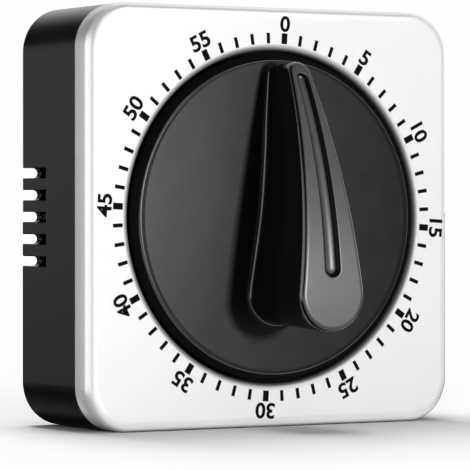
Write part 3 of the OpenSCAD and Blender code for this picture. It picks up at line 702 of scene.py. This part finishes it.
# %% Turned rings
BEVEL_DROP, SKIRT, SKIRT_WALL = 0.75, 3.6, 1.4
DISC_BACK, HUB_R, SOCKET_R, SOCKET_OUT = -1.3, 4.0, 2.07, 6.5
FACE_SOFT, BEVEL_SOFT, SKIRT_SOFT = 0.3, 0.12, 0.25


def softened(corner, before, after, radius, steps=5):
    """A corner of a turned profile, cut back by the radius along both sides.

    Between the cuts it follows (1 - t)^2 start + 2 t (1 - t) corner + t^2 end."""
    corner, before, after = (np.array(p, float) for p in (corner, before, after))
    into, away = before - corner, after - corner
    start = corner + into / np.linalg.norm(into) * radius
    end = corner + away / np.linalg.norm(away) * radius
    t = np.linspace(0, 1, steps)[:, None]
    return (1 - t) ** 2 * start + 2 * t * (1 - t) * corner + t**2 * end


face_edge, bevel_foot = (FACE_R, FACE_OUT), (DIAL_R, -BEVEL_DROP)
skirt_foot, skirt_in = (DIAL_R, -SKIRT), (DIAL_R - SKIRT_WALL, -SKIRT)
disc_in = (DIAL_R - SKIRT_WALL, DISC_BACK)
turned = np.vstack([
    softened(face_edge, (0, FACE_OUT), bevel_foot, FACE_SOFT, 7),
    softened(bevel_foot, face_edge, skirt_foot, BEVEL_SOFT, 7),
    softened(skirt_foot, bevel_foot, skirt_in, SKIRT_SOFT),
    softened(skirt_in, skirt_foot, disc_in, SKIRT_SOFT),
    [disc_in], [(HUB_R, DISC_BACK)], [(HUB_R, -SKIRT)], [(SOCKET_R, -SKIRT)],
    [(SOCKET_R, SOCKET_OUT)],
])
turned_rings = [ring(radius * clockwise, out) for radius, out in turned]
print("the turned part takes", len(turned_rings), "rings")

# %% [markdown]
# Between the fillet's foot and the face's edge lie a few plain rings, each a mix of teardrop and
# circle. Then every row of faces is given one of the four finishes, counted from the places
# where the profile passes from one form to the next.

# %% Dial
FACE_MIX_OUT = (0.04, 0.2, 0.4, 0.6, 0.8, 0.97)
GROOVE_WALL = slice(4, 11)
CROWN_EDGE_ROWS, FOOT_ROWS = 3, 4
EDGE_LINE = slice(3, 6)

plain = [walls[-1] + (turned_rings[0] - walls[-1]) * m for m in FACE_MIX_OUT]
profile = np.stack(inside + walls + plain + turned_rings)
crown_end = len(inside) + CROWN_EDGE_ROWS
wall_end = len(inside) + len(walls) - FOOT_ROWS
face_end = len(profile) - len(turned_rings)
row_kinds = np.full(len(profile) - 1, SATIN)
row_kinds[:crown_end] = CROWN
row_kinds[GROOVE_WALL] = SATIN
row_kinds[crown_end:wall_end] = POLISH
row_kinds[face_end - 1] = BEVEL
row_kinds[face_end + EDGE_LINE.start:face_end + EDGE_LINE.stop] = POLISH
row_kinds[face_end + EDGE_LINE.stop:] = BEVEL
dial = finished_mesh(
    "turning_dial",
    surface("turning_dial", profile, caps=True, kinds=row_kinds),
    "dial", dial_finishes)
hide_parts("dial_knob")

# %% [markdown]
# ## Casing
# The casing is a box moulding with slots, screw wells and magnet cups, and its engineering solid
# is already right. Only its shading is not: it comes as loose triangles. It could be built again
# from outlines, but that would lose the slots' exact places. So we copy it, join the triangles,
# melt the flat ones into whole faces, soften the real edges by the small radius that every
# moulding has, and weight the normals by face area so that flat walls look flat.

# %% Casing finish
casing_black = Finish("casing_black", {"IOR": 1.5})
mottle = casing_black.noise((0.15, 0.15, 0.15), 3.0)
spark = casing_black.noise((7.0, 7.0, 7.0), 2.0)
casing_black.feed({
    "Base Color": casing_black.greys(mottle, 0.0005, 0.001),
    "Roughness": mottle * 0.06 + 0.22,
})
casing_black.bump(spark, 0.0012)
print("the casing's finish has", len(casing_black.tree.nodes), "nodes")

# %% Casing shell
CASING_TOUCHING, NEARLY_FLAT, REAL_EDGE = 1e-6, math.radians(0.4), math.radians(40)
CASING_SOFT = 0.18


def smooth_copy(node, name, body, finish, soften_mm):
    """A joined, softened and evenly shaded copy of a solid that stands in for it."""
    mesh = frame["nodes"][node].data.copy()
    mesh.name = name
    mesh.materials.clear()
    work = bmesh.new()
    work.from_mesh(mesh)
    bmesh.ops.remove_doubles(work, verts=work.verts, dist=CASING_TOUCHING)
    bmesh.ops.dissolve_limit(work, angle_limit=NEARLY_FLAT, verts=work.verts,
                             edges=work.edges)
    work.to_mesh(mesh)
    work.free()
    mesh.polygons.foreach_set("material_index", np.zeros(len(mesh.polygons), int))
    piece = finished_mesh(name, mesh, body, [finish])
    soften = piece.modifiers.new("soften", "BEVEL")
    soften.width, soften.segments = soften_mm * MM, 2
    soften.limit_method, soften.angle_limit = "ANGLE", REAL_EDGE
    soften.use_clamp_overlap = True
    even = piece.modifiers.new("even", "WEIGHTED_NORMAL")
    even.keep_sharp = True
    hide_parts(node)
    print(f"{name}: {len(mesh.polygons)} faces before softening")
    return piece


smooth_copy("rear_casing", "casing_shell", "case", casing_black, CASING_SOFT)

# %% [markdown]
# ## Finishes for the works
# Behind the dial everything is metal: brass plates and wheels with a straight grain, turned steel
# arbors and screws, a blued mainspring, a plated bell and two sintered magnets. Each could have
# its own node tree, but they differ only in numbers, so one function makes a metal from its
# colour, its roughness and the direction of its grain.

# %% Metals
def metal(name, dark, light, rough, grain_per_mm, relief, metallic=1.0):
    """A metal whose colour, roughness and relief all follow one stretched noise."""
    made = Finish(name, {"Metallic": metallic})
    lines = made.noise(grain_per_mm, 3.0)
    stain = made.noise((0.08, 0.08, 0.08), 2.0)
    made.feed({
        "Base Color": made.blend(lines * 0.5 + stain * 0.5, (*dark, 1), (*light, 1)),
        "Roughness": lines * 0.14 + stain * 0.1 + (rough - 0.12),
    })
    made.bump(lines, relief)
    return made


inner_black = Finish("inner_black", {"IOR": 1.45})
frost = inner_black.noise((3.0, 3.0, 3.0), 2.0)
inner_black.feed({
    "Base Color": inner_black.greys(frost, 0.004, 0.010),
    "Roughness": frost * 0.2 + 0.5,
})
inner_black.bump(frost, 0.004)

finish_of = {
    "casing_black": casing_black,
    "inner_black": inner_black,
    "steel": metal("turned_steel", (0.45, 0.45, 0.46), (0.66, 0.66, 0.67), 0.32,
                   (1.5, 6.0, 1.5), 0.002),
    "brass": metal("satin_brass", (0.60, 0.42, 0.16), (0.80, 0.60, 0.27), 0.34,
                   (0.4, 3.0, 7.0), 0.003),
    "spring_steel": metal("blued_steel", (0.03, 0.05, 0.13), (0.12, 0.16, 0.28), 0.28,
                          (1.0, 1.0, 1.0), 0.001),
    "magnet": metal("sintered_magnet", (0.10, 0.10, 0.11), (0.22, 0.22, 0.23), 0.5,
                    (5.0, 5.0, 5.0), 0.006, 0.7),
    "bell_steel": metal("plated_bell", (0.62, 0.62, 0.63), (0.76, 0.76, 0.77), 0.2,
                        (0.3, 4.0, 0.3), 0.001),
}
print("finishes for the works:", ", ".join(finish_of))

# %% Dress the solids
replaced = {"front_cover", "dial_knob", "rear_casing"}
dressed = 0
for part in frame["record"]["subparts"]:
    node = frame["nodes"].get(part["node"])
    if node is None or part["node"] in replaced:
        continue
    for place in node.material_slots:
        place.material = finish_of[part["material_slot"]].material
    dressed += 1
print("dressed", dressed, "solids")

# %% [markdown]
# ## Table
# The timer stands on a white table that runs into a white room. A white plane could be lit until
# it is as pale as the room, but its far edge would still show. A shadow catcher keeps only the
# shadows. It is left out of mirror images too, because the room already holds its glow.

# %% Table
TABLE_HALF = 20

floor_mesh = bpy.data.meshes.new("table_top")
floor_mesh.from_pydata([(-TABLE_HALF, -TABLE_HALF, 0), (TABLE_HALF, -TABLE_HALF, 0),
                        (TABLE_HALF, TABLE_HALF, 0), (-TABLE_HALF, TABLE_HALF, 0)], [],
                       [(0, 1, 2, 3)])
paper = Finish("table_white", {"Base Color": (0.35, 0.35, 0.35), "Roughness": 0.9,
                               "Specular IOR Level": 0.1})
floor_mesh.materials.append(paper.material)
floor = bpy.data.objects.new("table_top", floor_mesh)
bpy.context.scene.collection.objects.link(floor)
floor.is_shadow_catcher = True
floor.visible_glossy = False
print("the table is", 2 * TABLE_HALF, "m wide")

# %% [markdown]
# ## Lamps
# Black plastic and satin steel show what they mirror, so a lamp does two jobs: it lights, and it
# is seen. One lamp for both is hard to steer, so the jobs are parted. The room, further down, is
# what gets mirrored. `front_box` only lights, and whitens the steel. `dial_lamp` is small and
# shines on the dial alone: its sheen fades over the satin disc from left to right, and the fin
# throws a dark band across the disc. `top_sheet` and `table_fill` shine on the table alone and
# shape the shadow under the case.

# %% Lamps
def soft_box(name, centre, aim, width, height, radiance, only=None):
    """A rectangular lamp that faces a point; its power is pi times its area and radiance.

    With `only`, it lights that one object; otherwise it lights all and is mirrored by none."""
    lamp = bpy.data.lights.new(name, "AREA")
    lamp.shape, lamp.size, lamp.size_y = "RECTANGLE", width, height
    lamp.energy = radiance * math.pi * width * height
    placed = bpy.data.objects.new(name, lamp)
    placed.location = centre
    placed.rotation_mode = "QUATERNION"
    placed.rotation_quaternion = (Vector(aim) - Vector(centre)).to_track_quat("-Z", "Y")
    if only is None:
        placed.visible_glossy = False
    else:
        lit_by = bpy.data.collections.new(name + "_lights")
        lit_by.objects.link(only)
        placed.light_linking.receiver_collection = lit_by
    bpy.context.scene.collection.objects.link(placed)
    print(f"{name}: {lamp.energy:.2f} W")


soft_box("front_box", (-0.02, -0.264, 0.065), (-0.02, 0, 0.065), 0.30, 0.12, 5.0)
soft_box("dial_lamp", (0.060, -0.36, 0.055), (0, 0, 0.0417), 0.03, 0.03, 860.0, dial)
soft_box("top_sheet", (0.0, 0.14, 0.50), (0, 0, 0), 0.16, 0.5, 34.0, floor)
soft_box("table_fill", (-0.10, -0.30, 0.20), (0, 0, 0), 0.7, 0.2, 4.0, floor)

# %% [markdown]
# ## Room
# The room is what the mouldings and the steel mirror. Real panels could be hung round the timer,
# but they would stand in the way when it is looked at from another side. Here the room's light
# is a sum over directions: every panel is a ramp over the angle to one direction, and panels are
# cut to height by multiplying them with a ramp over the height. The camera sees plain white.

# %% Room helpers
STRAIGHT_UP = (0, 90)
PATCH_SOFT = 3

world = bpy.data.worlds.new("white_room")
world.use_nodes = True
bpy.context.scene.world = world
world.node_tree.nodes.clear()
room = Board(world.node_tree)
direction = room.node("ShaderNodeTexCoord", out="Generated")


def toward(azimuth, tilt, stops):
    """A grey that depends on the angle from one direction of the room.

    The direction is given by its azimuth, from straight in front towards the right, and its
    tilt upwards, in degrees. Each stop pairs an angle with a grey: 90 looks along the direction,
    0 is square to it, and -90 looks the other way. The ramp runs over the sine of that angle."""
    azimuth, tilt = math.radians(azimuth), math.radians(tilt)
    axis = (math.sin(azimuth) * math.cos(tilt), -math.cos(azimuth) * math.cos(tilt),
            math.sin(tilt))
    rise = room.node("ShaderNodeVectorMath", {"operation": "DOT_PRODUCT"},
                     {0: direction, 1: axis}, out="Value")
    ramp = [(0.5 + 0.5 * math.sin(math.radians(angle)), grey) for angle, grey in stops]
    return room.node("ShaderNodeValToRGB", {"stops": ramp}, {0: rise * 0.5 + 0.5})


def by_height(stops):
    """A grey that depends on the height above the horizon only, in degrees."""
    return toward(*STRAIGHT_UP, stops)


def patch(azimuth, tilt, reach, grey):
    """A round patch of light; its soft edge lies reach degrees from its middle."""
    edge = 90 - reach
    return toward(azimuth, tilt, [(-90, 0.0), (edge - PATCH_SOFT, 0.0),
                                  (edge + PATCH_SOFT, grey), (90, grey)])


print("room helpers: toward, by_height, patch")

# %% [markdown]
# The steel, the disc and the fin face the half of the room in front. A panel there is brightest
# left of its middle and fades to the right, and below it lies the table's glow. The steel's
# rolled left edge looks at a panel far round to the left. The casing's side looks at the wall
# behind, which is dim but for a low strip and a brighter part on the right. Three small patches
# are for viewers who walk round to the back and the right side.

# %% Room
across_panel = toward(120.5, -26.5, [
    (-90, 0.0), (-58, 0.0), (-55, 0.9), (-40, 0.9), (-30, 0.9), (-22, 1.8),
    (-12, 1.7), (-4, 0.9), (2, 0.5), (8, 0.42), (22, 0.42), (60, 0.05), (90, 0.05)])
in_front = toward(30.5, 0, [(-90, 0.0), (0, 0.0), (8, 1.0), (90, 1.0)])
panel_height = by_height([(-90, 0.0), (-24, 0.0), (-18, 1.0), (50, 1.0), (56, 0.0), (90, 0.0)])
table_glow = by_height([(-90, 0.6), (-26, 0.6), (-18, 0.0), (90, 0.0)])
left_panel = patch(-99, 0, 40, 1.25)
left_height = by_height([(-90, 0.0), (-14, 0.0), (-10, 1.0), (20, 1.0), (30, 0.0), (90, 0.0)])
behind = toward(180, 0, [(-90, 0.0), (0, 0.0), (12, 1.0), (90, 1.0)])
back_wall = by_height([(-90, 0.0), (-5.0, 0.0), (-2.4, 0.31), (7, 0.31), (11, 0.02),
                       (30, 0.02), (50, 0.2), (90, 0.3)])
back_right = toward(90, 0, [(-90, 0.0), (-8, 0.0), (14, 0.9), (90, 0.9)])
above = by_height([(-90, 0.0), (0, 0.0), (2, 1.0), (90, 1.0)])
lit = (in_front * (across_panel * panel_height + table_glow) + left_panel * left_height
       + behind * (back_wall + back_right * above))

PATCH_GREY = 0.6
for azimuth, tilt, reach in ((180, -15, 8), (133, -15, 9), (97, 0, 9)):
    lit = lit + patch(azimuth, tilt, reach, PATCH_GREY)
print("the room has", len(world.node_tree.nodes), "nodes")

# %% Room to the world
FAINT, PLAIN_WHITE = 0.01, 1.0

felt = room.node("ShaderNodeBackground", None, {"Color": (1, 1, 1, 1), "Strength": lit + FAINT})
seen = room.node("ShaderNodeBackground", None,
                 {"Color": (1, 1, 1, 1), "Strength": PLAIN_WHITE})
camera_ray = room.node("ShaderNodeLightPath", out="Is Camera Ray")
both = room.node("ShaderNodeMixShader", None, {0: camera_ray, 1: felt, 2: seen})
room.node("ShaderNodeOutputWorld", None, {"Surface": both})
print("the camera sees", PLAIN_WHITE, "and the pieces see the panels")
